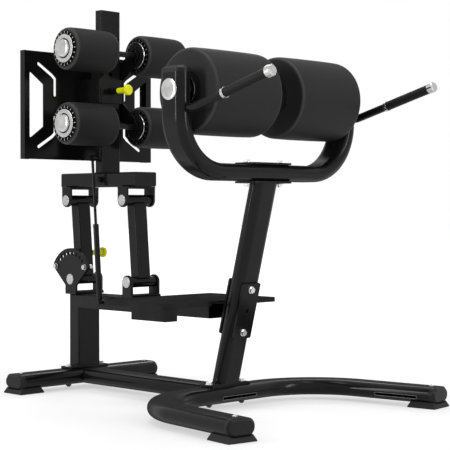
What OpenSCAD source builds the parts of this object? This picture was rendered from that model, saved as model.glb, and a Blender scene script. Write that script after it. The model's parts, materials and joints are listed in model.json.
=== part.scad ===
// Glute ham developer: a welded frame with a swing linkage, a sliding foot carriage and two
// hip pads. X runs forward, Y across and Z up from the floor. The origin lies under the middle
// of the whole length, on the plane of symmetry.

/* [Frame tube] */
// Width of the flat-oval frame tube
tube_w = 100; // [90:1:106]
// Thickness of the flat-oval frame tube
tube_t = 53; // [48:1:56]
// Wall of the frame tubes and beams
tube_wall = 3; // [2:0.5:4]
// Thickness of the plastic end caps beyond the tube
cap_t = 20; // [16:1:24]

/* [Base] */
// Height of the rubber feet
foot_h = 20; // [16:1:26]
// Depth by which a tube sinks into its feet
foot_seat = 5; // [3:0.5:6]
// Length and width of a rubber foot
foot_w = 100; // [94:1:108]
// Half length of the rear base tube, without its caps
rear_half = 300; // [285:1:335]
// Distance from the rear base tube to the front base tube
wheelbase = 726; // [700:1:760]
// Half length of the straight middle of the front base tube
front_half = 160; // [130:1:180]
// Radius of the bends in the front base tube, to the tube's middle
front_bend_r = 260; // [230:1:280]
// Angle by which the front legs splay outwards
splay = 8.2; // [0:0.1:12]
// Length of a front leg beyond its bend
leg_l = 287; // [270:1:325]
// Length of the oblong slots in the front base tube
slot_l = 160; // [120:1:175]
// Height of the oblong slots in the front base tube
slot_h = 13; // [8:1:16]

/* [Uprights] */
// Thickness of the plates that the posts stand on
post_plate_t = 8; // [6:1:12]
// Length of a post's plate across the machine
post_plate_l = 178; // [170:1:200]
// Distance between the two bolts of a post's plate
post_bolt_gap = 150; // [140:1:154]
// Width of the rear post and the upper beam
beam_w = 100; // [90:1:104]
// Depth of the rear post
post_d = 54; // [46:1:56]
// Height of the upper beam
beam_h = 50; // [44:1:56]
// Height of the upper beam's underside above the floor
beam_z = 287; // [270:1:300]
// Lean of the front post from upright
lean = 14.7; // [12:0.1:17]
// Height of the top of the front post
front_post_z = 726; // [710:1:740]
// Width of the two plates that clamp the upper beam to the front post
clamp_w = 80; // [70:1:90]
// Length of the clamping plates
clamp_l = 186; // [176:1:200]
// Distance between the two clamping bolts
clamp_gap = 144; // [130:1:150]

/* [Step] */
// Distance from the rear post to the step's rear edge
step_x = 395; // [380:1:410]
// Length of the step
step_l = 320; // [280:1:330]
// Width of the step
step_w = 508; // [440:1:540]
// Height of the step's rim
step_rim = 16; // [12:1:20]
// Thickness of the step's sheet
step_t = 4; // [3:0.5:5]
// Width of the box under the step's side
box_w = 51; // [40:1:60]
// Length of the box under the step's side
box_l = 163; // [140:1:180]
// Depth of the box below the step's rim
box_h = 41; // [30:1:50]

/* [Swing linkage] */
// Distance between the two lower pivots
pivot_gap = 310; // [290:1:330]
// Length of a link between its pivots
link_l = 285; // [275:1:300]
// Tilt of the links towards the rear as they stand
link_tilt = 4.8; // [0:0.1:8]
// Height of the lower pivots above the upper beam
pivot_h = 54; // [46:1:60]
// Width of a link across the machine
link_w = 56; // [50:1:60]
// Depth of a link
link_d = 44; // [36:1:46]
// Diameter of the bosses at the links' ends
boss_d = 38; // [34:1:42]
// Width of a pivot bracket between its ears
ear_gap = 114; // [112:1:118]
// Thickness of a bracket's ears
ear_t = 9; // [6:1:10]
// Width of a bracket's ear
ear_w = 48; // [44:1:52]
// Thickness of the brackets' plates
bracket_t = 10; // [8:1:12]
// Diameter of the pivot bolts
pivot_d = 16; // [14:1:18]
// Diameter of the pivot bolts' heads
pivot_head_d = 38; // [34:1:42]
// Outer radius of the sector plate
sector_r = 112; // [108:1:118]
// Half angle of the sector plate
sector_half = 66; // [64:1:68]
// Radius of the ring of stop holes in the sector plate
stop_r = 94; // [90:0.5:97]
// Angle from one stop hole to the next
stop_step = 12.6; // [11.5:0.1:13]
// Diameter of the stop holes
stop_hole_d = 14.5; // [12:0.5:15]

/* [Top beam and mast] */
// Length of the top beam without its caps
top_l = 401; // [380:1:420]
// Distance from the rear upper pivot back to the top beam's rear end
top_back = 46; // [40:1:60]
// Width of the mast
mast_w = 88; // [80:1:94]
// Depth of the mast
mast_d = 35; // [30:1:38]
// Distance from the rear upper pivot forward to the mast's middle
mast_x = 155; // [140:1:170]
// Height of the mast above the top beam
mast_l = 573; // [540:1:600]

/* [Carriage] */
// Height of the carriage's middle above the top beam
carriage_z = 290; // [270:1:310]
// Height of the carriage's sleeve
sleeve_h = 86; // [70:1:100]
// Wall of the sleeve
sleeve_t = 4; // [3:0.5:5]
// Thickness of the plastic liners in the sleeve
liner_t = 2.5; // [2:0.5:4]
// Thickness of the two cheek plates
cheek_t = 6; // [5:0.5:8]
// Distance from the mast's middle forward to the roller axles
axle_x = 80; // [75:1:90]
// Distance between the two roller axles
axle_gap = 254; // [240:1:270]
// Diameter of the roller axles
axle_d = 20; // [18:1:24]

/* [Kick plate] */
// Half width of the kick plate
plate_half = 294; // [285:1:310]
// Height of the kick plate
plate_h = 378; // [360:1:390]
// Height of the kick plate's middle above the top beam
plate_z = 235; // [225:1:245]
// Distance from the mast's middle back to the kick plate's face
plate_x = 97; // [90:1:105]
// Thickness of the kick plate's sheet
plate_t = 3; // [2:0.5:4]
// Depth of the kick plate's folded sides
fold_d = 25; // [20:1:32]
// Width of the lips that end the folds
lip_w = 35; // [20:1:40]
// Width of the narrow slots
slit_w = 11; // [8:1:14]

/* [Foot rollers] */
// Diameter of a foot roller's foam
roller_d = 147; // [130:1:155]
// Distance from the middle of the machine to a foot roller
roller_in = 68; // [66:1:80]
// Length of a foot roller
roller_l = 187; // [170:1:195]
// Radius of the foam's rounded edges
roller_edge = 12; // [6:1:16]
// Diameter of the chrome discs on the axles' ends
disc_d = 97; // [85:1:105]
// Diameter of the plastic hub's ring
hub_d = 118; // [110:1:122]

/* [Hip support] */
// Distance from the machine's middle to a yoke arm
arm_y = 380; // [365:1:400]
// Radius of the yoke's bends, to the tube's middle
yoke_bend_r = 172; // [150:1:172]
// Height of the yoke arms above the front post
arm_h = 344; // [330:1:360]
// Height of the hip pads' axis above the front post
hip_z = 274; // [264:1:284]
// Diameter of the hip pads
hip_d = 264; // [230:1:270]
// Half of the gap between the two hip pads
hip_in = 46; // [30:1:60]
// Length of a hip pad
hip_l = 287; // [250:1:290]
// Radius of the hip pads' rounded edges
hip_edge = 14; // [10:1:24]
// Diameter of the hip pads' shaft
hip_shaft_d = 30; // [25:1:34]
// Diameter of the chrome caps on the yoke's arms
arm_cap_d = 66; // [56:1:72]

/* [Handles] */
// Diameter of the handle bars
bar_d = 25; // [22:1:28]
// Height of the handle bars' foot above the front post
bar_z = 218; // [207:1:227]
// Slope of the handle bars
bar_slope = 15.5; // [8:0.5:20]
// Length of the sloping part of a handle bar
bar_l = 326; // [300:1:350]
// Length of bare bar before the grip
bare_l = 127; // [105:1:140]
// Diameter of the grips
grip_d = 30; // [29:0.5:34]
// Length of a handle's end cap
bar_cap_l = 22; // [16:1:28]

/* [Gas strut] */
// Diameter of the strut's cylinder
strut_d = 20; // [16:1:22]
// Diameter of the strut's rod
strut_rod_d = 10; // [8:1:12]
// Length of the strut's cylinder
strut_cyl_l = 276; // [255:1:285]
// Distance from the machine's middle to the strut
strut_y = 78; // [77:0.5:80]

/* [Pull pins] */
// Diameter of the pull pins
pin_d = 11; // [10:0.5:11.5]
// Diameter of the yellow knobs
knob_d = 38; // [32:1:42]
// Diameter of the pins' housings
housing_d = 22; // [20:1:26]

/* [Hidden] */
$fn = 64;

// Clearances between pieces that move, slide or turn on each other
run_fit = 0.05;
soft_gap = 0.3;
bolt_fit = 0.5;
eps = 0.01;
seat_gap = 0.2;
weld_gap = 0.02;

// Colours of the real finishes
black = [0.10, 0.10, 0.10];
charcoal = [0.20, 0.20, 0.20];
chrome = [0.85, 0.85, 0.87];
zinc = [0.75, 0.76, 0.78];
yellow = [0.82, 0.85, 0.05];
rubber = [0.06, 0.06, 0.06];

// Heights of the base
tube_base = foot_h - foot_seat;
tube_z = tube_base + tube_t / 2;
tube_top = tube_base + tube_t;
plate_top = tube_top + post_plate_t;

// Feet, set back from the tubes' ends so that foot and cap end together
foot_back = foot_w / 2 - cap_t;
rear_foot_y = rear_half - foot_back + 3;
foot_screw_d = 12;
foot_screw_out = 12;
foot_taper = 8;
cap_bevel = 8;

// The front base tube: the bend's centre, the turn of each bend and the end of a leg
bend_x = wheelbase + front_bend_r;
bend_turn = 90 - splay;

// Upper beam and front post
beam_top = beam_z + beam_h;
beam_mid = beam_z + beam_h / 2;
beam_corner = 6;
clamp_t = 8;
step_corner = 30;
post_half_t = tube_t / 2;
clamp_s = (beam_mid + 12 - plate_top) / cos(lean);
post_top_x = wheelbase + (front_post_z - plate_top) * tan(lean);
post_plate_w = 60;
top_plate_t = 6;
top_plate_w = 92;

// Fasteners
bolt_d = 12;
bolt_head_d = 20;
bolt_head_h = 7;
washer_d = 24;
washer_t = 2;

// Pivots of the linkage
pivot_z = beam_top + pivot_h;
top_dx = -link_l * sin(link_tilt);
top_pivot_z = pivot_z + link_l * cos(link_tilt);
ear_out = ear_gap / 2 + ear_t;
boss_half = ear_gap / 2 - 1;
bush_wall = 4;
bush_lip = 0.7;
pivot_head_t = 4;
link_notch = 8;
link_cope = 6;
stop_bolt_angle = 61.2;
stop_bolt_d = 18;

// Top beam and mast
top_z = top_pivot_z + 48;
top_up = top_z + beam_h;
mast_mid = top_dx + mast_x;
top_cap_t = 3;
upper_plate_t = 8;
upper_plate_l = ear_w + 2;
lower_plate_l = 60;

// Carriage
car_z = top_up + carriage_z;
sleeve_w = mast_w + 2 * (liner_t + sleeve_t);
sleeve_d = mast_d + 2 * (liner_t + sleeve_t);
roller_x = mast_mid + axle_x;
roller_zs = [car_z + axle_gap / 2, car_z - axle_gap / 2];
plate_face = mast_mid - plate_x;
kick_z = top_up + plate_z;
lobe_r = 20;
axle_half = roller_in + roller_l + 4;
disc_t = 4;
dome_d = 63;
dome_h = 9;
bearing_d = 46;
hub_core_d = 60;
inner_disc_out = 7;
hub_ribs = 20;
hub_rib_w = 5;
hub_flange_t = 3;

// Hip support
pad_z = front_post_z + hip_z;
arm_top = front_post_z + arm_h;
arm_in = arm_y - tube_t / 2;
arm_out = arm_y + tube_t / 2;
hip_core_d = 110;

// Handles
bar_y = arm_y - 5;
bar_foot_z = front_post_z + bar_z;
bar_foot_x = post_top_x + tube_w / 2;
bar_knee = 23;
bar_bend_r = 60;
bar_tangent = bar_bend_r * tan(bar_slope / 2);
ring_t = 5;
grip_from = bare_l + 2 * ring_t;

// Gas strut: the lower stud and the upper eye
strut_x1 = 180;
strut_z1 = beam_mid + 4;
strut_x2 = mast_mid + 9;
strut_z2 = top_up + 51;
strut_l = norm([strut_x2 - strut_x1, strut_z2 - strut_z1]);
strut_tilt = atan2(strut_x2 - strut_x1, strut_z2 - strut_z1);
strut_eye_d = 22;
strut_eye_w = 12;
strut_neck = 10;
strut_lap = 200;
stud_d = 10;

// Pull pins: how far a pin's tip stands clear of what it locks
pin_clear = 0.5;
knob_neck_d = 21;
link_pin_s = stop_r;
pin_y1 = ear_gap / 2 - pin_clear;

// The whole length, from the top beam's cap to the handles' ends
bar_end_x = bar_foot_x + bar_knee + (bar_l + 4) * cos(bar_slope) + 17 * sin(bar_slope);
top_x_min = top_dx - top_back - top_cap_t;
sector_x_min = -sector_r * sin(sector_half);
x_min = min(top_x_min, sector_x_min, -foot_w / 2);
x_mid = (x_min + bar_end_x) / 2;

// Moves a piece from the rear post's frame to the model's origin
module placed() {
    translate([-x_mid, 0, 0]) children();
}

// Copies a piece on both sides of the machine
module both_sides() {
    for (side = [0, 1]) mirror([0, side, 0]) children();
}

// Flat-oval outline, w wide and t thick
module flat_oval(w, t) {
    square([w - t, t], center = true);
    for (side = [-1, 1]) translate([side * (w - t) / 2, 0]) circle(d = t);
}

// Wall of the flat-oval tube as an outline
module oval_wall() {
    difference() {
        flat_oval(tube_w, tube_t);
        flat_oval(tube_w - 2 * tube_wall, tube_t - 2 * tube_wall);
    }
}

// Rectangle with round corners
module round_rect(w, h, r) {
    square([w - 2 * r, h], center = true);
    square([w, h - 2 * r], center = true);
    for (x = [-1, 1]) {
        for (y = [-1, 1]) translate([x * (w / 2 - r), y * (h / 2 - r)]) circle(r = r);
    }
}

// Wall of a rectangular tube as an outline
module rect_wall(w, h, r, wall) {
    difference() {
        round_rect(w, h, r);
        round_rect(w - 2 * wall, h - 2 * wall, max(r - wall, 1));
    }
}

// Lays an extrusion along Y: the outline's Y becomes Z
module along_y(length, center = true) {
    rotate([90, 0, 0]) linear_extrude(height = length, center = center) children();
}

// Extrudes along X: the outline's X becomes Y and its Y becomes Z
module along_x(length) {
    rotate([90, 0, 90]) linear_extrude(height = length) children();
}

// Cylinder along Y from y1 to y2 at (x, z)
module rod_y(x, z, d, y1, y2) {
    translate([x, y2, z]) rotate([90, 0, 0]) cylinder(d = d, h = y2 - y1);
}

// Hexagonal head, h high, with a low round face
module hex_head(d, h) {
    cylinder(d = d, h = h, $fn = 6);
}

// Bolt through a grip from z = 0 up to z = grip, washers and nut outside it
module through_bolt(grip) {
    translate([0, 0, -washer_t]) cylinder(d = bolt_d, h = grip + 2 * washer_t);
    translate([0, 0, grip]) cylinder(d = washer_d, h = washer_t);
    translate([0, 0, grip + washer_t]) hex_head(bolt_head_d, bolt_head_h);
    translate([0, 0, -washer_t]) cylinder(d = washer_d, h = washer_t);
    translate([0, 0, -washer_t - bolt_head_h]) hex_head(bolt_head_d, bolt_head_h);
    translate([0, 0, -washer_t - bolt_head_h - 3]) cylinder(d = bolt_d, h = 4);
}

// Frame whose Z axis runs up the middle of the leaning front post
module on_post() {
    translate([wheelbase, 0, plate_top]) rotate([0, lean, 0]) children();
}

// Places of the two bolts through a post's plate
module post_bolts(x) {
    for (side = [-1, 1]) translate([x, side * post_bolt_gap / 2, 0]) children();
}

// Places of the two clamping bolts, along the front post's thickness
module clamp_bolts() {
    for (side = [-1, 1]) {
        on_post() translate([0, 0, clamp_s + side * clamp_gap / 2]) rotate([0, 90, 0]) children();
    }
}

// Frame at the centre of a front bend, turned so that X runs along the leg
module on_bend() {
    translate([bend_x, front_half, 0]) rotate([0, 0, 90 - bend_turn]) children();
}

// Frame at the end of a front leg's bend, X running along the leg
module on_leg() {
    on_bend() translate([0, front_bend_r, 0]) children();
}

// The four base tubes' ends with X pointing out of the tube
module base_ends() {
    both_sides() {
        translate([0, rear_half, tube_z]) rotate([0, 0, 90]) children();
        on_leg() translate([leg_l, 0, tube_z]) children();
    }
}

// Solid core of the rear base tube
module rear_tube_core() {
    translate([0, 0, tube_z]) along_y(2 * rear_half) flat_oval(tube_w, tube_t);
}

// Middle and bends of the front base tube for one outline
module front_tube_path() {
    translate([wheelbase, 0, tube_z]) along_y(2 * (front_half - weld_gap)) children();
    both_sides() on_bend() {
        translate([0, 0, tube_z]) rotate([0, 0, 90])
            rotate_extrude(angle = bend_turn, $fn = 128)
                translate([front_bend_r, 0]) children();
        translate([0, front_bend_r, tube_z]) along_x(leg_l) children();
    }
}

// Oblong outline of a slot, l long and h high
module oblong(l, h) {
    flat_oval(l, h);
}

// The three slots: one in the middle's front side, one in each leg's inner side
module slot_places() {
    translate([wheelbase + tube_w / 2, 15, tube_base + 20]) rotate([0, 0, 90]) children();
    both_sides() {
        on_leg() translate([leg_l - 120, -tube_w / 2, tube_base + 20]) children();
    }
}

module rear_base_tube() placed() color(black) {
    difference() {
        translate([0, 0, tube_z]) along_y(2 * rear_half) oval_wall();
        post_bolts(0) translate([0, 0, tube_base - 1]) cylinder(d = bolt_d + bolt_fit, h = tube_t + 2);
        both_sides() translate([0, rear_foot_y + foot_screw_out, tube_base - 1])
            cylinder(d = foot_screw_d + bolt_fit, h = tube_t + 2);
    }
}

module main_beam() placed() color(black) {
    difference() {
        translate([tube_w / 4, 0, tube_z]) along_x(wheelbase - tube_w / 2) oval_wall();
        rear_tube_core();
        translate([wheelbase, 0, tube_z]) along_y(2 * front_half) flat_oval(tube_w, tube_t);
    }
}

module front_base_tube() placed() color(black) {
    difference() {
        front_tube_path() oval_wall();
        post_bolts(wheelbase) translate([0, 0, tube_base - 1])
            cylinder(d = bolt_d + bolt_fit, h = tube_t + 2);
        slot_places() rotate([90, 0, 0])
            linear_extrude(height = 4 * tube_wall, center = true) oblong(slot_l, slot_h);
        both_sides() on_leg() translate([leg_l - foot_back + 3 + foot_screw_out, 0, tube_base - 1])
            cylinder(d = foot_screw_d + bolt_fit, h = tube_t + 2);
    }
}

// Cap for a tube's end: a plug inside the wall, and outside it a rim with a bevelled face
module oval_cap() {
    plug = tube_wall + soft_gap;
    rim = cap_t - cap_bevel;
    face = 2 * cap_bevel;
    translate([-8, 0, 0]) along_x(8) flat_oval(tube_w - 2 * plug, tube_t - 2 * plug);
    along_x(rim) flat_oval(tube_w, tube_t);
    hull() {
        translate([rim - 1, 0, 0]) along_x(1) flat_oval(tube_w - 1, tube_t - 1);
        translate([cap_t - 1, 0, 0]) along_x(1) flat_oval(tube_w - face, tube_t - face);
    }
}

module tube_end_caps() placed() color(rubber) {
    base_ends() oval_cap();
    both_sides() translate([post_top_x, arm_y, arm_top - cap_t]) rotate([0, -90, 90]) oval_cap();
}

// Trim ring lining an oblong slot
module slot_trims() placed() color(rubber) {
    slot_places() rotate([90, 0, 0]) difference() {
        linear_extrude(height = 2 * tube_wall, center = true)
            oblong(slot_l - 2 * soft_gap, slot_h - 2 * soft_gap);
        linear_extrude(height = 4 * tube_wall, center = true)
            oblong(slot_l - 5, slot_h - 5);
    }
}

// Rubber foot: a square block that flares down to the floor, hollowed for the tube on it
module foot() {
    top = foot_w - 2 * foot_taper;
    difference() {
        hull() {
            translate([0, 0, 2]) cube([foot_w, foot_w, 4], center = true);
            translate([0, 0, foot_h - eps / 2]) cube([top, top, eps], center = true);
        }
        translate([-foot_w, 0, tube_z]) along_x(2 * foot_w)
            flat_oval(tube_w + 2 * seat_gap, tube_t + 2 * seat_gap);
    }
}

module rubber_feet() placed() color(rubber) {
    both_sides() {
        translate([0, rear_foot_y, 0]) rotate([0, 0, 90]) foot();
        on_leg() translate([leg_l - foot_back + 3, 0, 0]) foot();
    }
}

// Screw that holds a foot: a shaft through the tube and a low head on top
module foot_screw() {
    translate([0, 0, tube_base]) cylinder(d = foot_screw_d, h = tube_t);
    translate([0, 0, tube_top]) cylinder(d = 16, h = 4);
    translate([0, 0, tube_top + 4]) cylinder(d = 9, h = 2);
}

module foot_screws() placed() color(zinc) {
    both_sides() {
        translate([0, rear_foot_y + foot_screw_out, 0]) foot_screw();
        on_leg() translate([leg_l - foot_back + 3 + foot_screw_out, 0, 0]) foot_screw();
    }
}

// Plate under a post with its two bolt holes
module post_plate(x) {
    difference() {
        translate([x, 0, tube_top]) linear_extrude(height = post_plate_t)
            round_rect(post_plate_w, post_plate_l, 6);
        post_bolts(x) translate([0, 0, tube_top - 1])
            cylinder(d = bolt_d + bolt_fit, h = post_plate_t + 2);
    }
}

// Everything in front of and above the mitre plane of the rear post and the upper beam
module mitre_side() {
    rotate_to = atan2(beam_h, post_d);
    translate([-post_d / 2, 0, beam_top]) rotate([0, rotate_to, 0])
        translate([0, -beam_w, 0]) cube([900, 2 * beam_w, 900]);
}

module rear_post() placed() color(black) {
    post_plate(0);
    difference() {
        translate([0, 0, plate_top]) linear_extrude(height = beam_top - plate_top)
            rect_wall(post_d, beam_w, beam_corner, tube_wall);
        mitre_side();
    }
}

// Clamping plate in the front post's frame, x1 its rear face
module clamp_blank(x1) {
    translate([x1, 0, clamp_s]) rotate([90, 0, 90]) linear_extrude(height = clamp_t)
        difference() {
            round_rect(clamp_w, clamp_l, 6);
            for (side = [-1, 1]) translate([0, side * clamp_gap / 2]) circle(d = bolt_d + bolt_fit);
        }
}

module upper_beam() placed() color(black) {
    difference() {
        intersection() {
            translate([-post_d / 2, 0, beam_mid]) along_x(wheelbase)
                rect_wall(beam_w, beam_h, beam_corner, tube_wall);
            mitre_side();
        }
        on_post() translate([-post_half_t - clamp_t, -beam_w, 0]) cube([300, 2 * beam_w, 600]);
    }
    on_post() clamp_blank(-post_half_t - clamp_t);
}

module front_post() placed() color(black) {
    post_plate(wheelbase);
    difference() {
        intersection() {
            on_post() translate([0, 0, -60]) linear_extrude(height = 900)
                rotate(90) oval_wall();
            translate([wheelbase - 200, -tube_w, plate_top])
                cube([700, 2 * tube_w, front_post_z - plate_top]);
        }
        clamp_bolts() translate([0, 0, -tube_t]) cylinder(d = bolt_d + bolt_fit, h = 2 * tube_t);
    }
    difference() {
        translate([post_top_x, 0, front_post_z]) linear_extrude(height = top_plate_t)
            round_rect(top_plate_w, post_plate_l, 12);
        post_bolts(post_top_x) translate([0, 0, front_post_z - 1])
            cylinder(d = bolt_d + bolt_fit, h = top_plate_t + 2);
    }
}

module clamp_plate() placed() color(black) {
    difference() {
        on_post() clamp_blank(post_half_t);
        on_post() translate([0, 0, clamp_s]) rotate([0, 90, 0])
            cylinder(d = 13, h = post_half_t + 2 * clamp_t);
    }
}

module frame_bolts() placed() color(zinc) {
    post_bolts(0) translate([0, 0, tube_base]) through_bolt(tube_t + post_plate_t);
    post_bolts(wheelbase) translate([0, 0, tube_base]) through_bolt(tube_t + post_plate_t);
    post_bolts(post_top_x) translate([0, 0, front_post_z])
        through_bolt(2 * top_plate_t + tube_t);
    clamp_bolts() translate([0, 0, -post_half_t - clamp_t])
        through_bolt(tube_t + 2 * clamp_t);
}

// Outline of the step drawn in by a margin: round corners on the box's side, sharper opposite
module step_outline(margin) {
    half = step_w / 2 - margin;
    round_rect(step_l - 2 * margin, 2 * half, step_corner - margin);
    translate([0, half / 2]) round_rect(step_l - 2 * margin, half, step_corner / 4);
}

module step_platform() placed() color(black) {
    translate([step_x + step_l / 2, 0, 0]) {
        difference() {
            translate([0, 0, beam_top + 8 - step_rim]) linear_extrude(height = step_rim)
                step_outline(0);
            translate([0, 0, beam_top + 8 - step_rim - 1])
                linear_extrude(height = step_rim + 1 - step_t) step_outline(step_t);
            translate([0, 0, beam_mid]) cube([step_l + 2, beam_w + 2, beam_h], center = true);
        }
        translate([0, 0, beam_top]) linear_extrude(height = 8 - step_t)
            square([step_l - 2 * step_t, beam_w], center = true);
    }
    box_x = step_x + step_l - box_l - 2;
    translate([box_x, -step_w / 2, beam_top + 8 - step_rim - box_h]) difference() {
        cube([box_l, box_w, box_h + eps]);
        translate([step_t, step_t, -1])
            cube([box_l - 2 * step_t, box_w - 2 * step_t, box_h + 2]);
    }
}

// Ear of a bracket as an outline: a strip of the given height with a round end
module ear(height) {
    difference() {
        union() {
            translate([-ear_w / 2, -height]) square([ear_w, height]);
            circle(d = ear_w);
        }
        circle(d = pivot_d + 2 * run_fit);
    }
}

// Plate under a lower bracket, seated on the upper beam
module lower_plate(x) {
    translate([x - lower_plate_l / 2, -ear_out, beam_top])
        cube([lower_plate_l, 2 * ear_out, bracket_t]);
}

// Ear of a lower bracket on the +Y side
module lower_ear(x) {
    translate([x, ear_out, pivot_z]) along_y(ear_t, false) ear(pivot_h - bracket_t);
}

module lower_link_brackets() placed() color(black) {
    lower_plate(0);
    lower_ear(0);
    lower_plate(pivot_gap);
    both_sides() lower_ear(pivot_gap);
}

// Sector plate: a fan with stop holes that stands in for the rear bracket's ear
module sector_plate() placed() color(black) {
    tab = lower_plate_l / 2;
    tab_z = -(pivot_h - bracket_t);
    fan_x = sector_r * sin(sector_half);
    fan_z = sector_r * cos(sector_half);
    reach = 3;
    far_x = tab + reach * (fan_x - tab);
    far_z = tab_z / 2 + reach * (fan_z - tab_z / 2);
    translate([0, -ear_gap / 2, pivot_z]) along_y(ear_t, false) difference() {
        intersection() {
            circle(r = sector_r, $fn = 128);
            polygon([
                [-tab, tab_z], [-tab, tab_z / 2], [-far_x, far_z],
                [far_x, far_z], [tab, tab_z / 2], [tab, tab_z]
            ]);
        }
        circle(d = pivot_d + 2 * run_fit);
        for (hole = [-3 : 4]) rotate(link_tilt - hole * stop_step)
            translate([0, stop_r]) circle(d = stop_hole_d);
        for (side = [-1, 1]) rotate(side * stop_bolt_angle)
            translate([0, stop_r]) circle(d = stop_hole_d);
    }
}

module stop_bolts() placed() color(chrome) {
    for (side = [-1, 1]) {
        x = stop_r * sin(side * stop_bolt_angle);
        z = pivot_z + stop_r * cos(stop_bolt_angle);
        rod_y(x, z, stop_hole_d, -ear_out, -ear_gap / 2);
        rod_y(x, z, stop_bolt_d + 2, -ear_out - 2, -ear_out);
        translate([x, -ear_out - 10, z]) rotate([-90, 0, 0])
            cylinder(d = stop_bolt_d, h = 9, $fn = 6);
        rod_y(x, z, stop_bolt_d, -ear_gap / 2, -ear_gap / 2 + 20);
    }
}

// Pivot bolt through a bracket: a shaft with a low round head outside each ear
module pivot_bolt(x, z) {
    rod_y(x, z, pivot_d, -ear_out, ear_out);
    both_sides() {
        rod_y(x, z, pivot_head_d, ear_out, ear_out + pivot_head_t - 1);
        rod_y(x, z, pivot_head_d - 6, ear_out, ear_out + pivot_head_t);
    }
}

module lower_pivot_bolts() placed() color(chrome) {
    for (x = [0, pivot_gap]) pivot_bolt(x, pivot_z);
}

module upper_pivot_bolts() placed() color(chrome) {
    for (x = [0, pivot_gap]) pivot_bolt(x + top_dx, top_pivot_z);
}

// Frame at a link's lower pivot with Z running up the link
module on_link(x) {
    translate([x, 0, pivot_z]) rotate([0, -link_tilt, 0]) children();
}

// Link: two bosses and a rectangular tube between them
module link(x, pin_hole) {
    bush_d = pivot_d + 2 * bush_wall;
    on_link(x) difference() {
        union() {
            for (z = [0, link_l]) rod_y(0, z, boss_d, -boss_half, boss_half);
            translate([0, 0, link_l / 2]) difference() {
                linear_extrude(height = link_l - boss_d + 2 * link_cope, center = true)
                    round_rect(link_d, link_w, 5);
                linear_extrude(height = link_l - 2 * boss_d, center = true)
                    round_rect(link_d - 2 * tube_wall, link_w - 2 * tube_wall, 2);
            }
        }
        for (z = [0, link_l]) rod_y(0, z, bush_d, -boss_half - 1, boss_half + 1);
        if (pin_hole) rod_y(0, link_pin_s, housing_d, -link_w, link_w);
        for (z = [0, link_l]) {
            away = z == 0 ? -1 : 1;
            translate([0, 0, z + away * (boss_d / 2 + 25)])
                cube([link_d + 2, link_w + 2, 50], center = true);
        }
    }
}

// Flanged bushes pressed into a link's bosses
module bushes(x) {
    bush_d = pivot_d + 2 * bush_wall;
    lip_out = boss_half + bush_lip;
    on_link(x) for (z = [0, link_l]) both_sides() difference() {
        union() {
            rod_y(0, z, bush_d, boss_half - 30, boss_half);
            rod_y(0, z, boss_d - 6, boss_half, lip_out);
        }
        rod_y(0, z, pivot_d + 2 * run_fit, 0, lip_out + 1);
    }
}

module rear_link() placed() color(black) link(0, true);

module front_link() placed() color(black) link(pivot_gap, false);

module rear_link_bushes() placed() color(charcoal) bushes(0);

module front_link_bushes() placed() color(charcoal) bushes(pivot_gap);

// Housing of a pull pin: a sleeve with a collar, its bore a running fit for the pin
module link_pin_housing() placed() color(black) {
    on_link(0) difference() {
        union() {
            rod_y(0, link_pin_s, housing_d, -link_w / 2 - 6, link_w / 2 + 8);
            rod_y(0, link_pin_s, housing_d + 6, link_w / 2, link_w / 2 + 8);
        }
        rod_y(0, link_pin_s, pin_d + 2 * run_fit, -ear_gap, ear_gap);
    }
}

// Yellow knob on a pull pin along +Z: a neck and a round head with a dished face
module knob(neck) {
    cylinder(d = knob_neck_d, h = neck + 1);
    translate([0, 0, neck]) difference() {
        union() {
            cylinder(d1 = knob_d - 8, d2 = knob_d, h = 4);
            translate([0, 0, 4]) cylinder(d = knob_d, h = 8);
            translate([0, 0, 12]) cylinder(d1 = knob_d, d2 = knob_d - 6, h = 3);
        }
        translate([0, 0, 13.5]) cylinder(d = knob_d - 14, h = 3);
    }
}

module link_pin() placed() color(yellow) {
    on_link(0) {
        rod_y(0, link_pin_s, pin_d, -pin_y1, link_w / 2 + 10);
        translate([0, link_w / 2 + 8.5, link_pin_s]) rotate([-90, 0, 0]) knob(48);
    }
}

module top_beam() placed() color(black) {
    translate([top_x_min + top_cap_t, 0, top_z + beam_h / 2]) along_x(top_l)
        rect_wall(beam_w, beam_h, beam_corner, tube_wall);
    rod_y(mast_mid + 23, top_z + beam_h / 2, 21, -beam_w / 2 - 14, -beam_w / 2 + 1);
}

module top_tube_caps() placed() color(rubber) {
    in = 2 * (tube_wall + soft_gap);
    translate([top_x_min + top_cap_t + top_l / 2, 0, top_z + beam_h / 2]) for (side = [0, 1]) {
        mirror([side, 0, 0]) translate([top_l / 2, 0, 0]) {
            along_x(top_cap_t) round_rect(beam_w, beam_h, beam_corner);
            translate([-15, 0, 0]) along_x(15) round_rect(beam_w - in, beam_h - in, 3);
        }
    }
    translate([mast_mid, 0, top_up + mast_l]) {
        linear_extrude(height = top_cap_t) round_rect(mast_d, mast_w, 5);
        translate([0, 0, -15]) linear_extrude(height = 15)
            round_rect(mast_d - in, mast_w - in, 2);
    }
}

module upper_link_brackets() placed() color(black) {
    for (x = [top_dx, top_dx + pivot_gap]) {
        translate([x - upper_plate_l / 2, -ear_out, top_z - upper_plate_t])
            cube([upper_plate_l, 2 * ear_out, upper_plate_t]);
        both_sides() translate([x, ear_out, top_pivot_z]) mirror([0, 0, 1])
            along_y(ear_t, false) ear(top_z - upper_plate_t - top_pivot_z);
    }
}

// Mast with the row of holes that the carriage's pin drops into
module mast() placed() color(black) {
    difference() {
        translate([mast_mid, 0, top_up]) linear_extrude(height = mast_l)
            rect_wall(mast_d, mast_w, 5, tube_wall);
        for (row = [-1 : 4]) translate([mast_mid, 0, car_z + 30 * row]) rotate([0, 90, 0])
            cylinder(d = stop_hole_d, h = mast_d);
    }
}

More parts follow.
